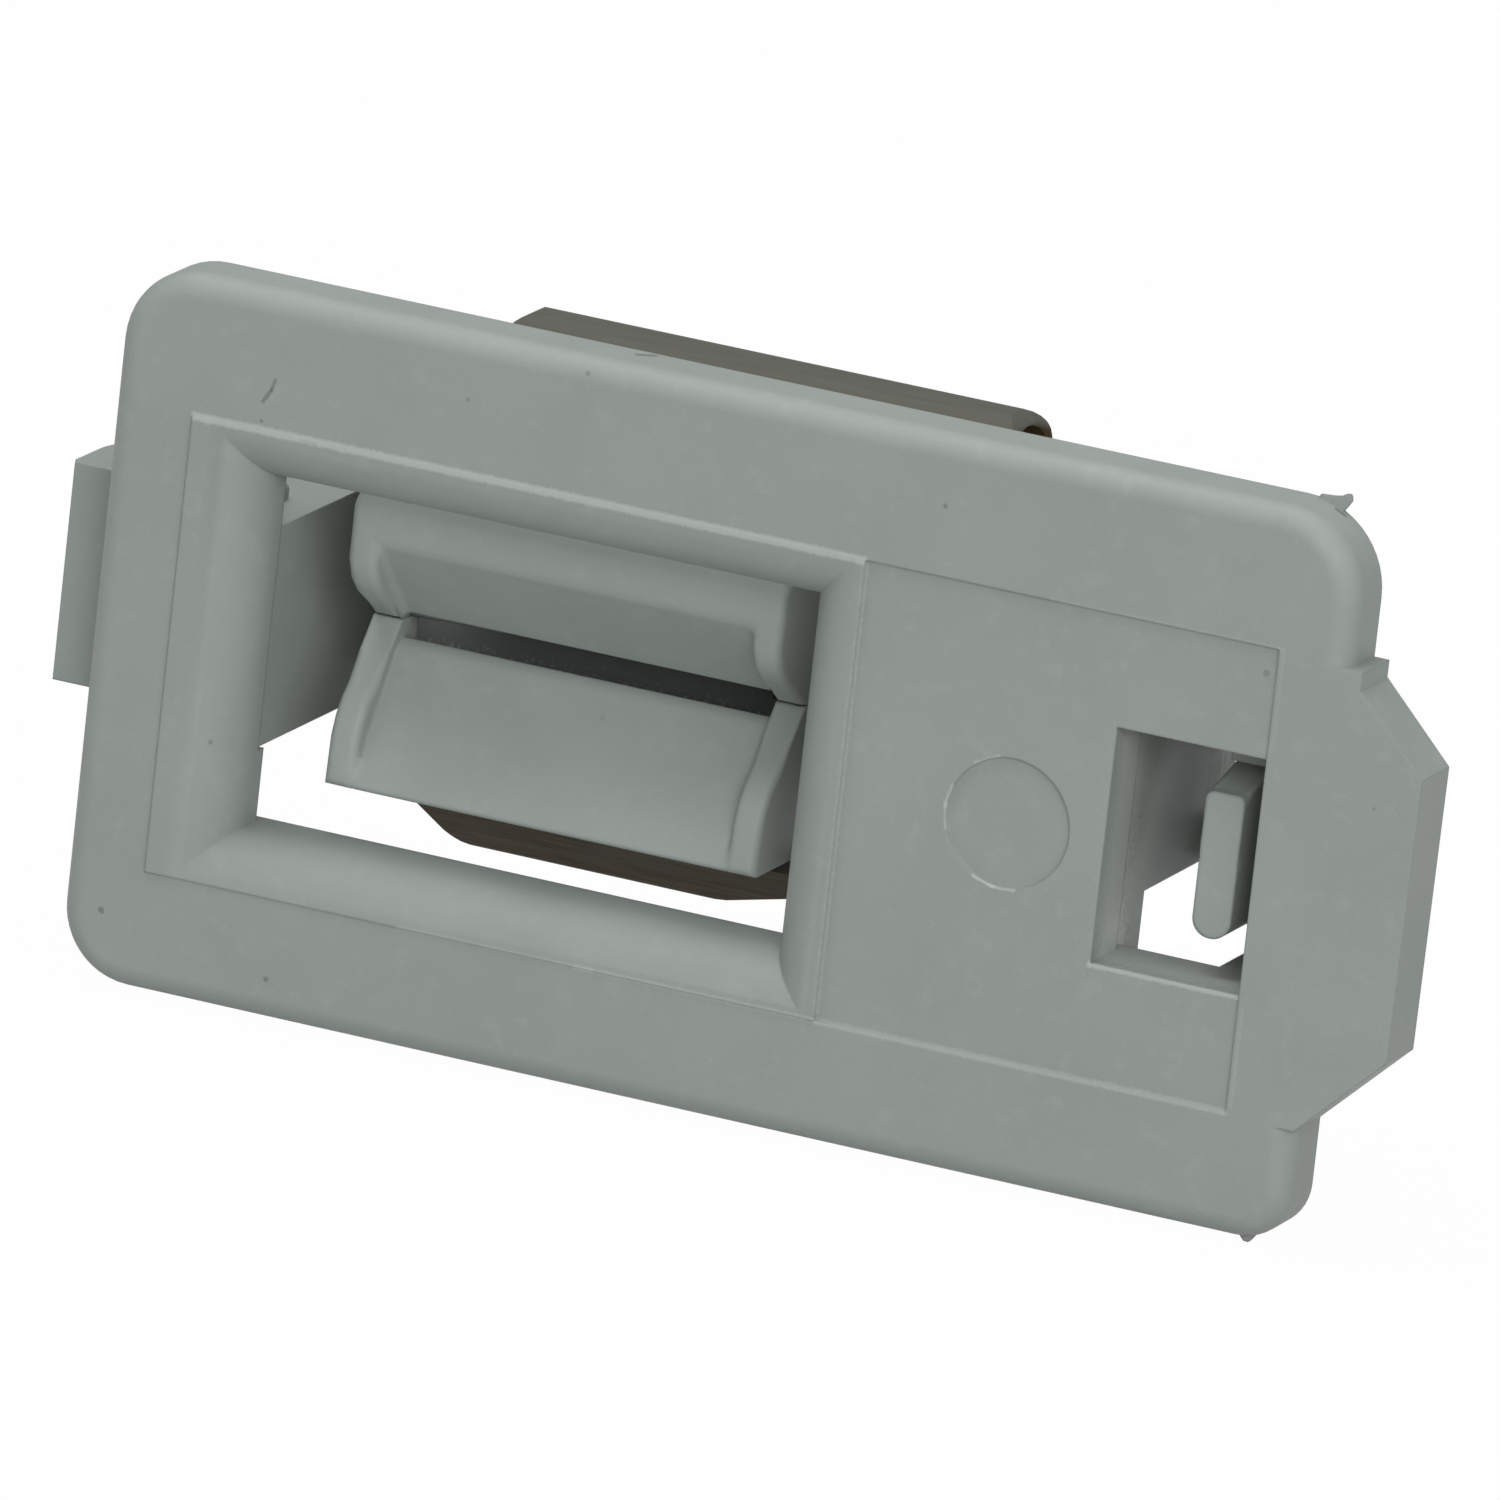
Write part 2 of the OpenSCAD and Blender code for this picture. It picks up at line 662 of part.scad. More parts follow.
// Closed case of the snap switch, with a hole at each end and a bore for its plunger
module switch_case() {
    low = [case_l_x, case_mid - case_l / 2];
    color(case_black) difference() {
        union() {
            along_y(case_y, case_y + case_d) round_rect(low, low + [case_w, case_l], case_r);
            bar_y(case_y - collar_h, case_y + cut, [blade_x, plunger_z], collar_r);
        }
        bar_y(case_y - 2 * collar_h, case_y + 2 * plunger_in, [blade_x, plunger_z], plunger_r + bore_gap);
        for (side = [-1, 1])
            bar_x(low[0] - cut, low[0] + case_w + cut, [case_y + peg_y, case_mid + side * peg_pitch / 2],
                peg_r + peg_gap);
    }
}

// Plunger of the switch
module switch_plunger() {
    color(plunger_red)
        bar_y(case_y - plunger_out - travel, case_y + plunger_in, [blade_x, plunger_z], plunger_r);
}

// One blade terminal behind the case
module terminal(z) {
    back = case_y + case_d;
    difference() {
        block(
            [blade_x - pin_t / 2, back, z - pin_w / 2],
            [blade_x + pin_t / 2, back + pin_l, z + pin_w / 2]
        );
        bar_x(blade_x - pin_t, blade_x + pin_t, [back + pin_hole_y, z], pin_hole);
    }
}

module terminal_common() {
    color(terminal_brass) terminal(case_mid - case_l / 2 + pin_inset);
}

module terminal_open() {
    color(terminal_brass) terminal(case_mid + case_l / 2 - pin_inset);
}

housing();
upper_jaw();
lower_jaw();
spring_clip();
switch_slider();
switch_case();
switch_plunger();
terminal_common();
terminal_open();
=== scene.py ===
import json
import math

import bmesh
import bpy
from mathutils import Matrix, Vector


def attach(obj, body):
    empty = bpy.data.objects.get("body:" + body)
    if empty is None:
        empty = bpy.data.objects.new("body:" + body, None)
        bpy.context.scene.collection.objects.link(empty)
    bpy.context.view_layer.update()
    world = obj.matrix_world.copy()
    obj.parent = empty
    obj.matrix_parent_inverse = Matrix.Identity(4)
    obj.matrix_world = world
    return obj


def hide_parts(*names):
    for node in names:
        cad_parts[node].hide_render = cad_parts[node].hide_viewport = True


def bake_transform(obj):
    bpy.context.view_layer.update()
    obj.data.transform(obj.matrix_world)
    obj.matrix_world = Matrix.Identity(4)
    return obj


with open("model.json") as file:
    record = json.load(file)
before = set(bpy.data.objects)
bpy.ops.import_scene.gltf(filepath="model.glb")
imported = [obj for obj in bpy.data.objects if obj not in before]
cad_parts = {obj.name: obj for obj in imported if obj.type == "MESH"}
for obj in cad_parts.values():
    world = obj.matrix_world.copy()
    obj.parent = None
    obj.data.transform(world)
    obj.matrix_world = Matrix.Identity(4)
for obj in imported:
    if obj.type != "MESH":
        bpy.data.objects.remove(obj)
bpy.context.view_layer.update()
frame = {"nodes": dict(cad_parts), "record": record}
mm = 0.001
print("frame loaded:", len(frame["nodes"]), "nodes")

# Camera at the photo's view
camera = {
    "target": (0.0, -4.0, -0.25),  # point of the lock that the camera is levelled on, in mm
    "azimuth": 21.954,
    "elevation": 15.211,
    "roll": 6.34,
    "distance": 1396.0,
    "scale": 17.874,  # pixels for 1 mm at the target, in a 1500 pixel picture
    "spot": (698.55, 756.56),  # where the target lies in that picture
    "picture": 1500,
    "sensor": 36.0,
}


def makeCamera(c):
    az, el, roll = (math.radians(c[k]) for k in ("azimuth", "elevation", "roll"))
    back = Vector((math.sin(az) * math.cos(el), -math.cos(az) * math.cos(el), math.sin(el)))
    right = Vector((math.cos(az), math.sin(az), 0))
    up = back.cross(right)
    turned = math.cos(roll) * right + math.sin(roll) * up
    upright = -math.sin(roll) * right + math.cos(roll) * up
    middle = c["picture"] / 2
    aside, below = ((middle - c["spot"][0]) / c["scale"], (c["spot"][1] - middle) / c["scale"])
    aim = Vector(c["target"]) + turned * aside + upright * below
    data = bpy.data.cameras.new("viewCamera")
    data.sensor_width = c["sensor"]
    data.lens = c["scale"] * c["distance"] * c["sensor"] / c["picture"]
    data.clip_end = 100
    view = bpy.data.objects.new("viewCamera", data)
    stand = Matrix.Translation((aim + back * c["distance"]) * mm)
    view.matrix_world = stand @ Matrix((turned, upright, back)).transposed().to_4x4()
    bpy.context.scene.collection.objects.link(view)
    bpy.context.scene.camera = view


makeCamera(camera)

# Lamps and floor
studio = {
    "worldColor": (1.0, 1.0, 1.0, 1),
    "worldStrength": 0.35,
    "lamps": [  # name, place in m, size in m, power in W
        ("overhead", (-0.2, -0.1, 1.0), 0.8, 6.4),
        ("front", (0.62, -1.15, 0.5), 0.8, 8.4),
        ("side", (1.0, -0.6, 0.25), 0.8, 1.6),
    ],
    "floorDrop": 21.35,  # floor under the nib on the plate's lower edge, in mm
    "floorSize": 12.0,  # in m
    "floorShade": (0.46, 0.46, 0.46, 1),
    "floorGlow": 0.985,  # how white the camera and reflections see the floor
}


def makeStudio(s):
    world = bpy.data.worlds.new("studioWorld")
    world.use_nodes = True
    background = world.node_tree.nodes["Background"]
    background.inputs["Color"].default_value = s["worldColor"]
    background.inputs["Strength"].default_value = s["worldStrength"]
    bpy.context.scene.world = world
    for name, spot, size, power in s["lamps"]:
        data = bpy.data.lights.new(name, "AREA")
        data.shape = "DISK"
        data.size = size
        data.energy = power
        lamp = bpy.data.objects.new(name, data)
        lamp.location = spot
        lamp.rotation_euler = (-Vector(spot)).to_track_quat("-Z", "Y").to_euler()
        bpy.context.scene.collection.objects.link(lamp)
    bm = bmesh.new()
    bmesh.ops.create_grid(bm, x_segments=1, y_segments=1, size=s["floorSize"] / 2)
    mesh = bpy.data.meshes.new("studioFloor")
    bm.to_mesh(mesh)
    bm.free()
    floor = bpy.data.objects.new("studioFloor", mesh)
    floor.location = (0, 0, -s["floorDrop"] * mm)
    bpy.context.scene.collection.objects.link(floor)
    mesh.materials.append(floorPaint(s))


def floorPaint(s):
    material = bpy.data.materials.new("floorPaint")
    material.use_nodes = True
    nodes, links = material.node_tree.nodes, material.node_tree.links
    nodes.clear()
    out = nodes.new("ShaderNodeOutputMaterial")
    mix = nodes.new("ShaderNodeMixShader")
    shade = nodes.new("ShaderNodeBsdfDiffuse")
    glow = nodes.new("ShaderNodeEmission")
    seen = nodes.new("ShaderNodeLightPath")
    reach = nodes.new("ShaderNodeMath")
    either = nodes.new("ShaderNodeMath")
    shade.inputs["Color"].default_value = s["floorShade"]
    glow.inputs["Color"].default_value = (1, 1, 1, 1)
    either.operation = "MAXIMUM"
    reach.operation = "MULTIPLY"
    reach.inputs[1].default_value = s["floorGlow"]
    links.new(seen.outputs["Is Camera Ray"], either.inputs[0])
    links.new(seen.outputs["Is Glossy Ray"], either.inputs[1])
    links.new(either.outputs[0], reach.inputs[0])
    links.new(reach.outputs[0], mix.inputs["Fac"])
    links.new(shade.outputs[0], mix.inputs[1])
    links.new(glow.outputs[0], mix.inputs[2])
    links.new(mix.outputs[0], out.inputs["Surface"])
    return material


makeStudio(studio)
bpy.context.scene.view_settings.view_transform = "Standard"
print("camera, lamps and floor made")


# Effects that the materials share
def newGroup(name, inputs, outputs):
    group = bpy.data.node_groups.new(name, "ShaderNodeTree")
    for label, kind, value in inputs:
        socket = group.interface.new_socket(label, in_out="INPUT", socket_type=kind)
        if value is not None:
            socket.default_value = value
    for label, kind in outputs:
        group.interface.new_socket(label, in_out="OUTPUT", socket_type=kind)
    return group, group.nodes.new("NodeGroupInput"), group.nodes.new("NodeGroupOutput")


def math2(tree, operation, a, b, clamp=False):
    node = tree.nodes.new("ShaderNodeMath")
    node.operation = operation
    node.use_clamp = clamp
    for socket, value in zip(node.inputs, (a, b)):
        if isinstance(value, (int, float)):
            socket.default_value = value
        else:
            tree.links.new(value, socket)
    return node.outputs[0]


def ramp(tree, value, low, high, outLow=0.0, outHigh=1.0):
    node = tree.nodes.new("ShaderNodeMapRange")
    node.interpolation_type = "SMOOTHSTEP"
    for name, v in (("From Min", low), ("From Max", high), ("To Min", outLow), ("To Max", outHigh)):
        if isinstance(v, (int, float)):
            node.inputs[name].default_value = v
        else:
            tree.links.new(v, node.inputs[name])
    tree.links.new(value, node.inputs["Value"])
    return node.outputs["Result"]


def noise(tree, place, scale, detail=2.0, rough=0.5):
    node = tree.nodes.new("ShaderNodeTexNoise")
    for name, v in (("Vector", place), ("Scale", scale)):
        if isinstance(v, (int, float)):
            node.inputs[name].default_value = v
        else:
            tree.links.new(v, node.inputs[name])
    node.inputs["Detail"].default_value = detail
    node.inputs["Roughness"].default_value = rough
    return node.outputs["Fac"]


def makeGrainGroup():
    # fine spark-eroded grain of a moulded face, with a slow unevenness under it
    group, enter, leave = newGroup(
        "mouldGrain",
        [("Place", "NodeSocketVector", None), ("Grain Scale", "NodeSocketFloat", 5200.0),
         ("Wave Scale", "NodeSocketFloat", 160.0), ("Wave Share", "NodeSocketFloat", 0.5)],
        [("Height", "NodeSocketFloat"), ("Mottle", "NodeSocketFloat")],
    )
    fine = noise(group, enter.outputs["Place"], enter.outputs["Grain Scale"], 3.0, 0.6)
    wave = noise(group, enter.outputs["Place"], enter.outputs["Wave Scale"], 3.0, 0.55)
    slow = math2(group, "MULTIPLY", wave, enter.outputs["Wave Share"])
    group.links.new(math2(group, "ADD", fine, slow), leave.inputs["Height"])
    group.links.new(wave, leave.inputs["Mottle"])
    return group


def makeMarkGroup():
    # one mark along a short line on the part; a line without length is a dot
    group, enter, leave = newGroup(
        "mark",
        [("Place", "NodeSocketVector", None), ("Start", "NodeSocketVector", (0.0, 0.0, 0.0)),
         ("Run", "NodeSocketVector", (0.0, 0.0, 0.0)), ("Radius", "NodeSocketFloat", 0.0002)],
        [("Mask", "NodeSocketFloat")],
    )

    def vector(operation, a, b, out="Vector"):
        node = group.nodes.new("ShaderNodeVectorMath")
        node.operation = operation
        group.links.new(a, node.inputs[0])
        group.links.new(b, node.inputs["Scale"] if operation == "SCALE" else node.inputs[1])
        return node.outputs[out]

    run = enter.outputs["Run"]
    away = vector("SUBTRACT", enter.outputs["Place"], enter.outputs["Start"])
    reach = vector("DOT_PRODUCT", away, run, "Value")
    along = math2(group, "DIVIDE", reach, vector("DOT_PRODUCT", run, run, "Value"), clamp=True)
    gap = vector("DISTANCE", away, vector("SCALE", run, along), "Value")
    ragged = math2(group, "ADD", noise(group, enter.outputs["Place"], 4000.0, 2.0, 0.6), 0.5)
    outer = enter.outputs["Radius"]
    inner = math2(group, "MULTIPLY", outer, 0.4)  # full strength up to here, then it fades out
    faded = ramp(group, math2(group, "MULTIPLY", gap, ragged), inner, outer, 1.0, 0.0)
    group.links.new(faded, leave.inputs["Mask"])
    return group


mouldGrain = makeGrainGroup()
mark = makeMarkGroup()


def place(tree):
    return tree.nodes.new("ShaderNodeTexCoord").outputs["Object"]


def useGroup(tree, group, **values):
    node = tree.nodes.new("ShaderNodeGroup")
    node.node_tree = group
    for name, v in values.items():
        socket = node.inputs[name.replace("_", " ")]
        if isinstance(v, (int, float, tuple)):
            socket.default_value = v
        else:
            tree.links.new(v, socket)
    return node


def useGrain(tree, here, scales):
    grain, wave, share = scales
    return useGroup(tree, mouldGrain, Place=here, Grain_Scale=grain, Wave_Scale=wave, Wave_Share=share)


def mixColor(tree, factor, a, b):
    node = tree.nodes.new("ShaderNodeMix")
    node.data_type = "RGBA"
    for socket, v in ((node.inputs["Factor"], factor), (node.inputs["A"], a), (node.inputs["B"], b)):
        if isinstance(v, (int, float)):
            socket.default_value = v
        elif isinstance(v, tuple):
            socket.default_value = (*v, 1)
        else:
            tree.links.new(v, socket)
    return node.outputs["Result"]


def stretched(tree, here, scale):
    node = tree.nodes.new("ShaderNodeMapping")
    node.inputs["Scale"].default_value = scale
    tree.links.new(here, node.inputs["Vector"])
    return node.outputs["Vector"]


def newMaterial(name):
    material = bpy.data.materials.new(name)
    material.use_nodes = True
    return material, material.node_tree, material.node_tree.nodes["Principled BSDF"]


def addBump(tree, shader, height, strength, distance, soft=0.0):
    bump = tree.nodes.new("ShaderNodeBump")
    if soft:
        worn = tree.nodes.new("ShaderNodeBevel")
        worn.samples = 6
        worn.inputs["Radius"].default_value = soft * mm
        tree.links.new(worn.outputs["Normal"], bump.inputs["Normal"])
    bump.inputs["Strength"].default_value = strength
    bump.inputs["Distance"].default_value = distance
    tree.links.new(height, bump.inputs["Height"])
    tree.links.new(bump.outputs["Normal"], shader.inputs["Normal"])


greyPlastic = {
    "color": (0.308, 0.340, 0.317),
    "pale": (0.342, 0.373, 0.352),
    "deep": (0.290, 0.321, 0.296),
    # dark specks of dirt on the plate, and the painted shade behind the jaws' lips
    "dirtAndShade": (0.085, 0.09, 0.085),
    # painted highlights along edges, and painted light on the window's shaded walls
    "paintedHighlight": (0.56, 0.60, 0.58),
    "rust": (0.16, 0.11, 0.07),
    "roughness": (0.5, 0.62),
    "grain": (5200.0, 120.0, 0.35),  # scale of the grain, scale of the waves under it and their share
    "dustScale": 700.0,
    "dustShare": 0.45,
    "gloss": 0.4,
    "bump": (0.35, 0.00006),
    "soft": 0.2,  # radius in mm over which edges look rounded
}
jawPlastic = {  # lifted a little, since the lamps leave the jaws too dark
    **greyPlastic,
    "color": (0.331, 0.366, 0.342),
    "pale": (0.366, 0.399, 0.378),
    "deep": (0.311, 0.345, 0.318),
    "soft": 0.35,
}

# Marks on the part: start and run of a line in mm, its radius in mm, strength, tint
plateMarks = [
    ((-28.62, -4.0, 14.60), (0.44, 0, 0.75), 0.17, 0.5, "dirtAndShade"),
    ((-28.18, -4.0, 15.35), (0.18, 0, 0.6), 0.14, 0.45, "dirtAndShade"),
    ((-9.22, -3.9, 20.13), (0, 0, 0), 0.2, 0.4, "dirtAndShade"),
    ((-7.5, -1.0, 21.0), (0.75, 0.5, 0), 0.3, 0.6, "dirtAndShade"),
    ((13.06, -4.0, 16.99), (0, 0, 0), 0.2, 0.45, "dirtAndShade"),
    ((33.09, -3.8, 11.43), (0, 0, 0), 0.3, 0.35, "dirtAndShade"),
    ((40.41, -4.0, 5.15), (0, 0, 0), 0.16, 0.3, "dirtAndShade"),
    ((-35.25, -4.0, -16.68), (0, 0, 0), 0.28, 0.5, "dirtAndShade"),
    ((-24.73, -4.0, -18.52), (0, 0, 0), 0.24, 0.5, "dirtAndShade"),
    ((-29.87, -3.45, -5.76), (0, 0, 0), 0.2, 0.4, "dirtAndShade"),
    ((-16.2, -4.0, 17.2), (0, 0, 0), 0.2, 0.3, "dirtAndShade"),
    ((-28.6, -4.0, 13.45), (0, 0, 0), 0.16, 0.4, "dirtAndShade"),
    ((-26.0, -4.15, 12.85), (0.9, 0, -0.05), 0.14, 0.4, "dirtAndShade"),
    ((34.85, -0.6, 20.5), (0.55, 0, -0.12), 0.24, 0.6, "dirtAndShade"),
    # from here painted highlights along the mould steps' edges, the window's lower edge and the ring's arcs
    ((-32.7, -4.1, 12.95), (41.3, 0, 0), 0.34, 0.5, "paintedHighlight"),
    ((8.7, -3.95, 12.6), (0, 0, -26), 0.26, 0.3, "paintedHighlight"),
    ((-17.0, -4.1, -13.85), (12.0, 0, 0), 0.2, 0.25, "paintedHighlight"),
    ((-6.0, -4.1, -13.85), (14.7, 0, 0), 0.24, 0.3, "paintedHighlight"),
    ((8.7, -3.95, -13.85), (25.0, 0.05, 0), 0.28, 0.3, "paintedHighlight"),
    ((20.0, -3.9, 13.0), (14.0, 0, 0), 0.2, 0.16, "paintedHighlight"),
    ((34.05, -3.9, 12.9), (0, 0, -5.4), 0.2, 0.08, "paintedHighlight"),
    ((34.05, -3.9, -7.8), (0, 0, -5.7), 0.2, 0.12, "paintedHighlight"),
    ((24.65, -3.8, -7.2), (9.1, 0, 0), 0.26, 0.45, "paintedHighlight"),
    ((24.9, -0.5, -7.15), (8.6, 0, 0), 3.2, 0.42, "paintedHighlight"),  # from here three painted lights that lift the window's shaded walls
    ((24.65, -0.5, -6.6), (0, 0, 12.8), 3.2, 0.36, "paintedHighlight"),
    ((24.65, 5.0, -4.0), (0, 5.0, 8.0), 5.5, 0.4, "paintedHighlight"),
    ((17.16, -3.8, -3.62), (1.18, 0, -0.35), 0.2, 0.6, "paintedHighlight"),
    ((18.34, -3.8, -3.97), (1.24, 0, 0.05), 0.2, 0.5, "paintedHighlight"),
    ((15.32, -3.8, 1.15), (-0.27, 0, -1.14), 0.24, 0.4, "paintedHighlight"),
    ((15.05, -3.8, 0.0), (0.13, 0, -1.2), 0.2, 0.35, "paintedHighlight"),
    ((17.83, -3.8, 3.37), (-1.28, 0, -0.62), 0.22, 0.4, "paintedHighlight"),
]
jawMarks = [((-9.65, 4.82, -1.85), (0, 0, 0), 0.28, 0.16, "rust")]
jawPaintedShade = {  # painted shade behind the jaws' lips, in mm
    "start": (-25.5, 13.6, 0.65),
    "run": (28.5, 0, 0),
    "radius": 5.2,
    "strength": 0.66,
}


def markMask(tree, here, start, run, radius):
    spot = useGroup(tree, mark, Place=here, Start=tuple(c * mm for c in start), Run=tuple(c * mm for c in run),
                    Radius=radius * mm)
    return spot.outputs["Mask"]


def makeGreyPlastic(name, p, marks, paintedShade=None):
    material, tree, shader = newMaterial(name)
    here = place(tree)
    grain = useGrain(tree, here, p["grain"])
    cloud = ramp(tree, grain.outputs["Mottle"], 0.3, 0.7)
    color = mixColor(tree, cloud, p["deep"], p["color"])
    dust = ramp(tree, noise(tree, here, p["dustScale"], 4.0, 0.6), 0.52, 0.75)
    color = mixColor(tree, math2(tree, "MULTIPLY", dust, p["dustShare"]), color, p["pale"])
    # marks: dirt specks and rust, and on the plate painted highlights and painted light
    for start, run, radius, strength, tint in marks:
        mask = markMask(tree, here, start, run, radius)
        color = mixColor(tree, math2(tree, "MULTIPLY", mask, strength), color, p[tint])
    # painted shade: the jaws darken deep behind their lips
    if paintedShade:
        shadeSpread = ramp(tree, markMask(tree, here, paintedShade["start"], paintedShade["run"], paintedShade["radius"]), 0.0, 0.5)
        color = mixColor(tree, math2(tree, "MULTIPLY", shadeSpread, paintedShade["strength"]), color, p["dirtAndShade"])
    tree.links.new(color, shader.inputs["Base Color"])
    tree.links.new(ramp(tree, grain.outputs["Mottle"], 0.3, 0.7, *p["roughness"]), shader.inputs["Roughness"])
    shader.inputs["Specular IOR Level"].default_value = p["gloss"]
    addBump(tree, shader, grain.outputs["Height"], *p["bump"], p["soft"])
    return material


springSteel = {
    "color": (0.072, 0.053, 0.026),
    "rust": (0.055, 0.039, 0.02),
    "paintedTopLight": (0.106, 0.116, 0.105),  # painted light: lighter grey on what faces up
    "paintedTopLightFrom": (0.0, 0.6),  # share of the painted light by how far a face looks up
    "gloss": (0.0105, 0.35),  # on faces that look down and up
    "glossTint": (1.0, 0.87, 0.64, 1),
    "roughness": (0.5, 0.62),
    "rolled": (0.06, 1, 1),  # streaks run along X
    "streakScale": 2600.0,
    "rustScale": 260.0,
    "bump": (0.25, 0.00005),
}


def makeSpringSteel(p):
    material, tree, shader = newMaterial("springSteel")
    here = place(tree)
    streak = noise(tree, stretched(tree, here, p["rolled"]), p["streakScale"], 4.0, 0.65)
    tint = ramp(tree, noise(tree, here, p["rustScale"], 4.0, 0.6), 0.35, 0.7)
    facing = tree.nodes.new("ShaderNodeSeparateXYZ")
    tree.links.new(tree.nodes.new("ShaderNodeNewGeometry").outputs["Normal"], facing.inputs[0])
    # faces that look up are painted lighter and greyer, as painted light from above
    upward = ramp(tree, facing.outputs["Z"], *p["paintedTopLightFrom"])
    paintedTopLight = math2(tree, "MULTIPLY", upward, ramp(tree, streak, 0.2, 0.8, 0.6, 1.0))
    color = mixColor(tree, paintedTopLight, mixColor(tree, tint, p["color"], p["rust"]), p["paintedTopLight"])
    tree.links.new(color, shader.inputs["Base Color"])
    tree.links.new(ramp(tree, upward, 0.0, 1.0, *p["gloss"]), shader.inputs["Specular IOR Level"])
    shader.inputs["Specular Tint"].default_value = p["glossTint"]
    tree.links.new(ramp(tree, streak, 0.3, 0.7, *p["roughness"]), shader.inputs["Roughness"])
    addBump(tree, shader, streak, *p["bump"])
    return material


switchPlastic = {
    "colors": ((0.014, 0.014, 0.015), (0.024, 0.024, 0.026)),
    "grain": (4200.0, 200.0, 0.2),
    "roughness": (0.38, 0.5),
    "bump": (0.3, 0.00005),
}
plungerPlastic = {
    "colors": ((0.36, 0.03, 0.02), (0.48, 0.045, 0.03)),
    "grain": (6000.0, 300.0, 0.3),
    "roughness": (0.25, 0.36),
    "bump": (0.2, 0.00004),
}


def makePlainPlastic(name, p):
    material, tree, shader = newMaterial(name)
    grain = useGrain(tree, place(tree), p["grain"])
    color = mixColor(tree, ramp(tree, grain.outputs["Mottle"], 0.3, 0.7), *p["colors"])
    tree.links.new(color, shader.inputs["Base Color"])
    tree.links.new(ramp(tree, grain.outputs["Mottle"], 0.3, 0.7, *p["roughness"]), shader.inputs["Roughness"])
    addBump(tree, shader, grain.outputs["Height"], *p["bump"])
    return material


terminalMetal = {
    "colors": ((0.52, 0.42, 0.24), (0.72, 0.62, 0.42)),
    "rolled": (1, 0.08, 1),  # streaks run along Y
    "streakScale": 5200.0,
    "roughness": (0.28, 0.42),
    "bump": (0.15, 0.00003),
}


def makeTerminalMetal(p):
    material, tree, shader = newMaterial("terminalMetal")
    streak = noise(tree, stretched(tree, place(tree), p["rolled"]), p["streakScale"], 3.0, 0.6)
    tree.links.new(mixColor(tree, ramp(tree, streak, 0.35, 0.7), *p["colors"]), shader.inputs["Base Color"])
    shader.inputs["Metallic"].default_value = 1.0
    tree.links.new(ramp(tree, streak, 0.3, 0.7, *p["roughness"]), shader.inputs["Roughness"])
    addBump(tree, shader, streak, *p["bump"])
    return material


paints = {
    "grey_plastic": makeGreyPlastic("greyPlastic", greyPlastic, plateMarks),
    "jaw_plastic": makeGreyPlastic("jawPlastic", jawPlastic, jawMarks, jawPaintedShade),
    "spring_steel": makeSpringSteel(springSteel),
    "switch_plastic": makePlainPlastic("switchPlastic", switchPlastic),
    "plunger_plastic": makePlainPlastic("plungerPlastic", plungerPlastic),
    "terminal_metal": makeTerminalMetal(terminalMetal),
}
print("materials made")

# The pieces, with their edges broken
bodyOf = {n: body for body, names in frame["record"]["behaviour"]["bodies"].items() for n in names}
slotOf = {s["node"]: s["material_slot"] for s in frame["record"]["subparts"]}
softFronts = {"upper_jaw": (0.5, 7.0), "lower_jaw": (0.45, 5.0)}  # radius and depth of the front's edges, in mm
edges = {  # radius of the broken edges in mm, and its segments
    "housing": (0.22, 2),
    "upper_jaw": (0.2, 2),
    "lower_jaw": (0.2, 2),
    "spring_clip": (0.12, 2),
    "switch_slider": (0.2, 2),
    "switch_case": (0.3, 3),
    "switch_plunger": (0.25, 3),
    "terminal_common": (0.1, 2),
    "terminal_open": (0.1, 2),
}
mesher = {  # angles in degrees, distances in m
    "weld": 2e-6,
    "flat": 0.4,  # faces that differ by less are joined
    "sharp": 30,  # edges over this angle are broken
    "shaded": 40,  # edges over this angle keep a hard shade
    "softSegments": 4,
}


def linkMesh(bm, name, slot):
    mesh = bpy.data.meshes.new(name)
    bm.to_mesh(mesh)
    bm.free()
    mesh.materials.append(paints[slot])
    piece = bpy.data.objects.new(name, mesh)
    bpy.context.scene.collection.objects.link(piece)
    return piece


def breakEdges(bm, chosen, radius, segments, clamp):
    bmesh.ops.bevel(bm, geom=chosen, offset=radius * mm, offset_type="OFFSET", segments=segments, profile=0.5,
                    affect="EDGES", clamp_overlap=clamp, material=-1, loop_slide=True)


def dressNode(name, radius, segments, m):
    bm = bmesh.new()
    bm.from_mesh(frame["nodes"][name].data)
    sharp = math.radians(m["sharp"])
    bmesh.ops.remove_doubles(bm, verts=bm.verts, dist=m["weld"])
    bmesh.ops.dissolve_limit(bm, angle_limit=math.radians(m["flat"]), verts=bm.verts, edges=bm.edges, delimit=set())
    if name in softFronts:
        soft, depth = softFronts[name]
        steep = [e for e in bm.edges if e.calc_face_angle(0) > sharp]
        fronts = [e for e in steep if max(v.co.y for v in e.verts) < depth * mm]
        breakEdges(bm, fronts, soft, m["softSegments"], False)
    corners = [e for e in bm.edges if len(e.link_faces) == 2 and e.calc_face_angle(0) > sharp]
    breakEdges(bm, corners, radius, segments, True)
    bmesh.ops.triangulate(bm, faces=[f for f in bm.faces if len(f.verts) > 4])
    for face in bm.faces:
        face.smooth = True
        face.material_index = 0
    for edge in bm.edges:
        edge.smooth = edge.calc_face_angle(0) < math.radians(m["shaded"])
    piece = linkMesh(bm, name + "Dressed", slotOf[name])
    weigh = piece.modifiers.new("evenNormals", "WEIGHTED_NORMAL")
    weigh.keep_sharp = True
    weigh.weight = 100
    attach(piece, bodyOf[name])
    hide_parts(name)
    return piece


# The clip is cut into two halves at its middle; each half's leg bears on one jaw
clip = {
    "middle": 0.1,  # height where the halves meet, in mm
    "still": 22.5,  # depth from which the strip stands still
    "moved": 9.5,  # depth where it goes with the jaw
    "halves": [("springClipUpper", "upper_jaw", 1), ("springClipLower", "lower_jaw", -1)],
}


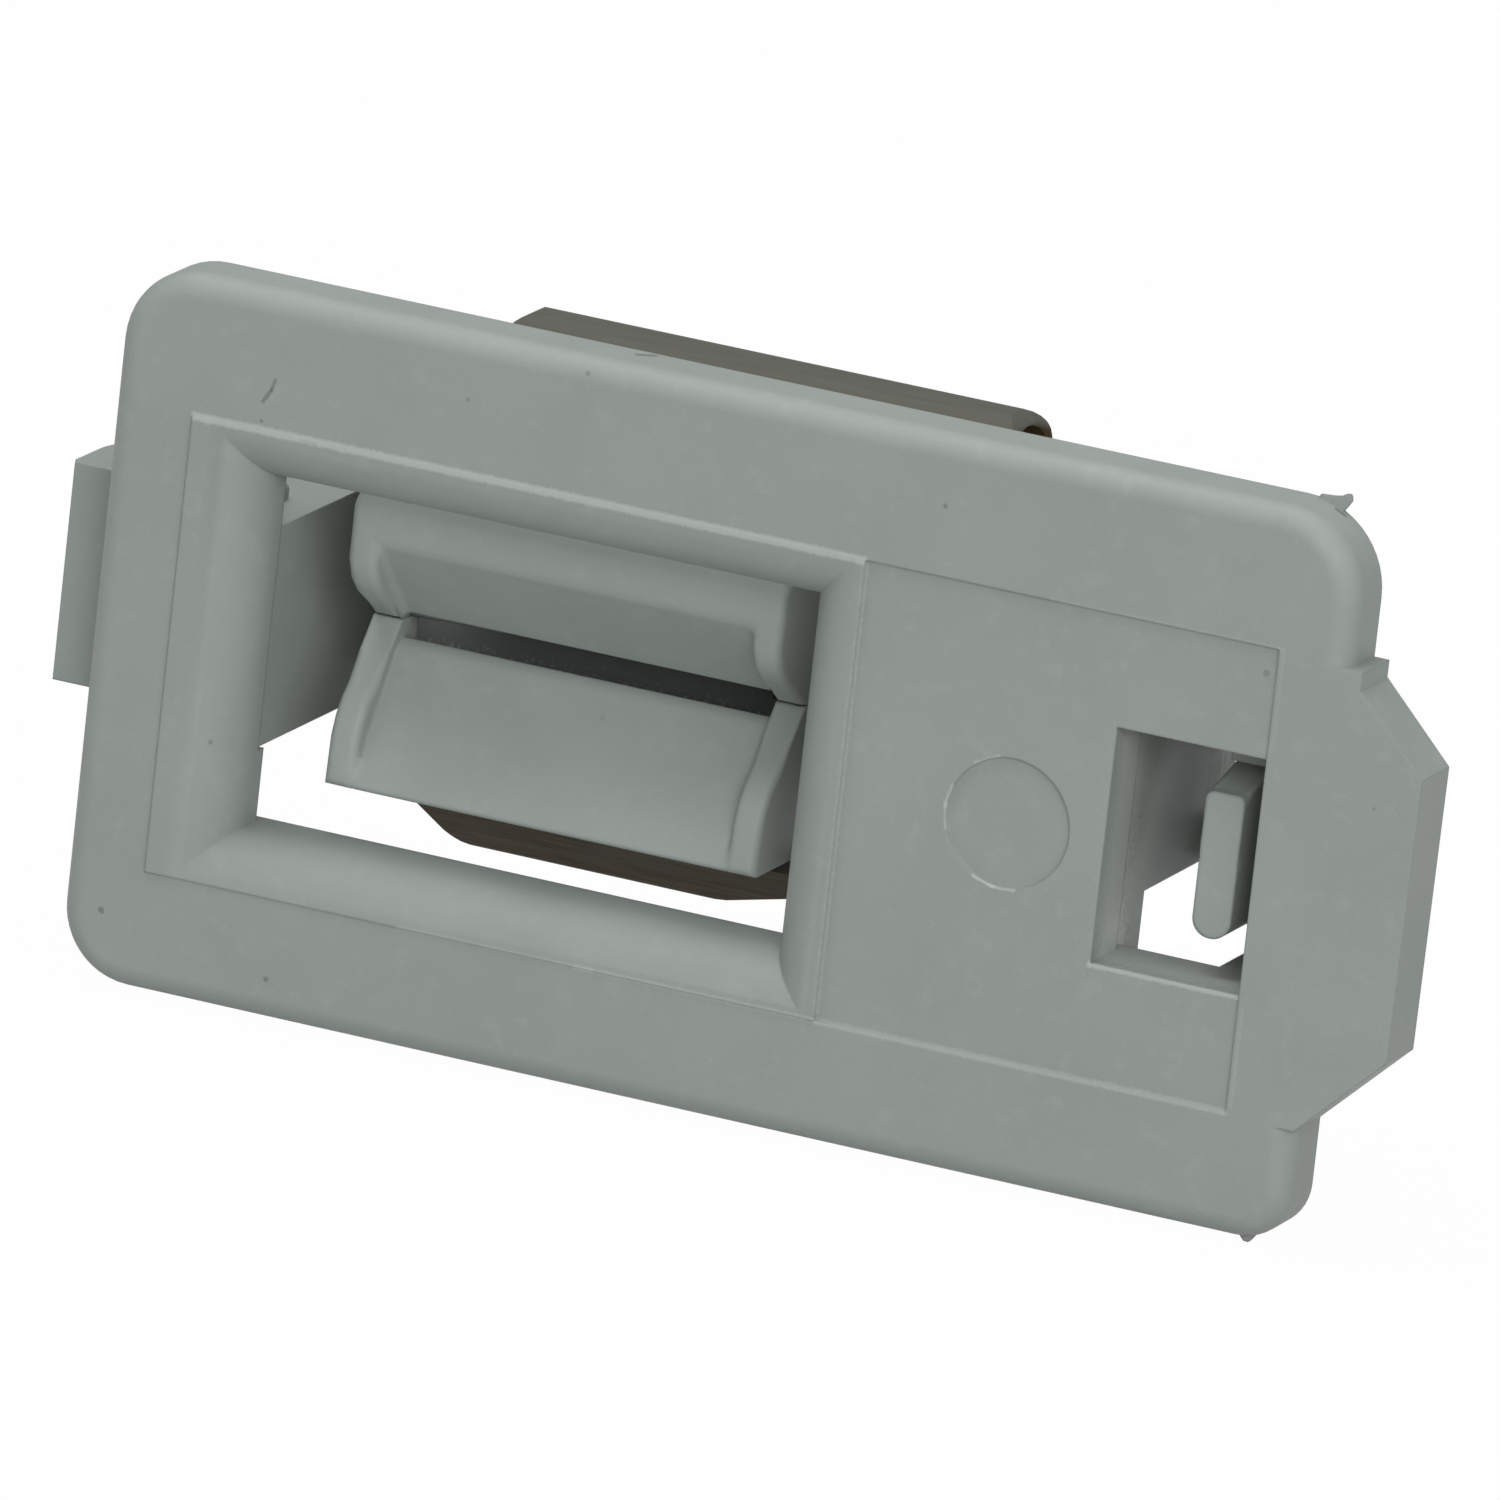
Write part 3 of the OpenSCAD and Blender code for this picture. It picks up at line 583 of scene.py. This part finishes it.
def splitClip(whole, c):
    for name, jaw, side in c["halves"]:
        bm = bmesh.new()
        bm.from_mesh(whole.data)
        whereCut = (0, 0, c["middle"] * mm)
        cut = bmesh.ops.bisect_plane(bm, geom=[*bm.verts, *bm.edges, *bm.faces], dist=1e-7, plane_co=whereCut,
                                     plane_no=(0, 0, side), clear_inner=True)
        rim = [e for e in cut["geom_cut"] if isinstance(e, bmesh.types.BMEdge)]
        bmesh.ops.contextual_create(bm, geom=rim)
        for edge in rim:  # hard, so that the two halves shade as one strip
            edge.smooth = False
        half = linkMesh(bm, name, slotOf["spring_clip"])
        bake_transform(half)
        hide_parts("spring_clip")
    bpy.data.objects.remove(whole)


# Flash left by the mould: depth behind the seat from and to, then the outline across and up, in mm
flash = {
    "flashSpur": ((-0.32, -0.12), [
        (33.2, 20.3), (33.76, 21.17), (34.54, 21.22), (34.98, 21.3), (35.25, 21.47), (35.5, 21.5), (35.6, 21.34),
        (35.62, 21.1), (35.38, 20.71), (35.2, 20.45), (35.32, 20.2), (35.2, 19.2), (34.0, 19.2),
    ]),
    "flashNib": ((-2.7, -2.2), [
        (34.3, -20.2), (34.85, -20.9), (35.2, -21.3), (35.5, -21.33), (35.75, -21.0), (35.9, -20.3), (35.4, -19.6),
    ]),
}


def makeFlash(name, depth, outline):
    bm = bmesh.new()
    face = bm.faces.new([bm.verts.new((x * mm, depth[0] * mm, z * mm)) for x, z in outline])
    grown = bmesh.ops.extrude_face_region(bm, geom=[face])
    lifted = [v for v in grown["geom"] if isinstance(v, bmesh.types.BMVert)]
    bmesh.ops.translate(bm, verts=lifted, vec=(0, (depth[1] - depth[0]) * mm, 0))
    bmesh.ops.recalc_face_normals(bm, faces=bm.faces)
    piece = linkMesh(bm, name, "grey_plastic")
    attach(piece, "housing")
    return piece


pieces = {}
for name, (radius, segments) in edges.items():
    pieces[name] = dressNode(name, radius, segments, mesher)
    print("dressed", name, len(pieces[name].data.polygons), "faces")
splitClip(pieces.pop("spring_clip"), clip)
for name, (depth, outline) in flash.items():
    pieces[name] = makeFlash(name, depth, outline)
print("clip halves and flash made")
